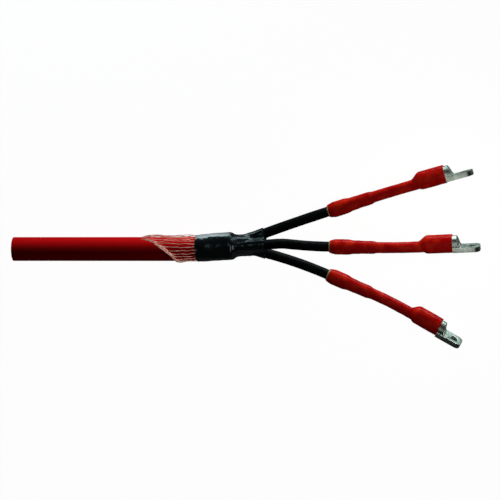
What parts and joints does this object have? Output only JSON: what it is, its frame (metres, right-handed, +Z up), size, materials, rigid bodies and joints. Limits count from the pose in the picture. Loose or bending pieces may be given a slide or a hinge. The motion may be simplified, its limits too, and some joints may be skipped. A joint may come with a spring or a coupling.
{
  "type": "cable termination",
  "caption": "Heat-shrink cable termination: red cable stub with folded-back screen wires, black breakout boot, black core tubes, red sleeves and tinned bolt-on lugs.",
  "frame": {"origin": "centre of the bounding box on the floor the part lies on", "axes": "+X from the cut cable end to the lugs, +Y to the side of the first leg, +Z up"},
  "size_m": [1.1823, 0.4623, 0.073],
  "materials": {
    "sheath_red": "smooth extruded, glossy",
    "bedding_grey": "matt filler compound",
    "copper": "bright drawn copper",
    "boot_black": "semi-gloss moulded heat-shrink",
    "tube_black": "dull heat-shrink tube",
    "insulation_white": "natural polymer",
    "screen_black": "dull conductive polymer",
    "mastic": "soft sealing mastic",
    "sleeve_red": "glossy heat-shrink sleeve",
    "tinned": "tin plated, satin",
    "bolt_metal": "tinned, sheared faces"
  },
  "bodies": {
    "root": {"outer_sheath": "sheath_red", "cable_bedding": "bedding_grey", "screen_wires": "copper", "sheath_mastic": "mastic", "breakout_boot": "boot_black", "conductor_upper": "copper", "conductor_middle": "copper", "conductor_lower": "copper", "insulation_upper": "insulation_white", "insulation_middle": "insulation_white", "insulation_lower": "insulation_white", "core_screen_upper": "screen_black", "core_screen_middle": "screen_black", "core_screen_lower": "screen_black", "core_tube_upper": "tube_black", "core_tube_middle": "tube_black", "core_tube_lower": "tube_black", "end_mastic_upper": "mastic", "end_mastic_middle": "mastic", "end_mastic_lower": "mastic", "stress_tube_upper": "screen_black", "stress_tube_middle": "screen_black", "stress_tube_lower": "screen_black", "sleeve_upper": "sleeve_red", "sleeve_middle": "sleeve_red", "sleeve_lower": "sleeve_red", "lug_mastic_upper": "mastic", "lug_mastic_middle": "mastic", "lug_mastic_lower": "mastic", "lug_upper": "tinned", "lug_middle": "tinned", "lug_lower": "tinned", "shear_bolts_upper": "bolt_metal", "shear_bolts_middle": "bolt_metal", "shear_bolts_lower": "bolt_metal"}
  },
  "joints": []
}
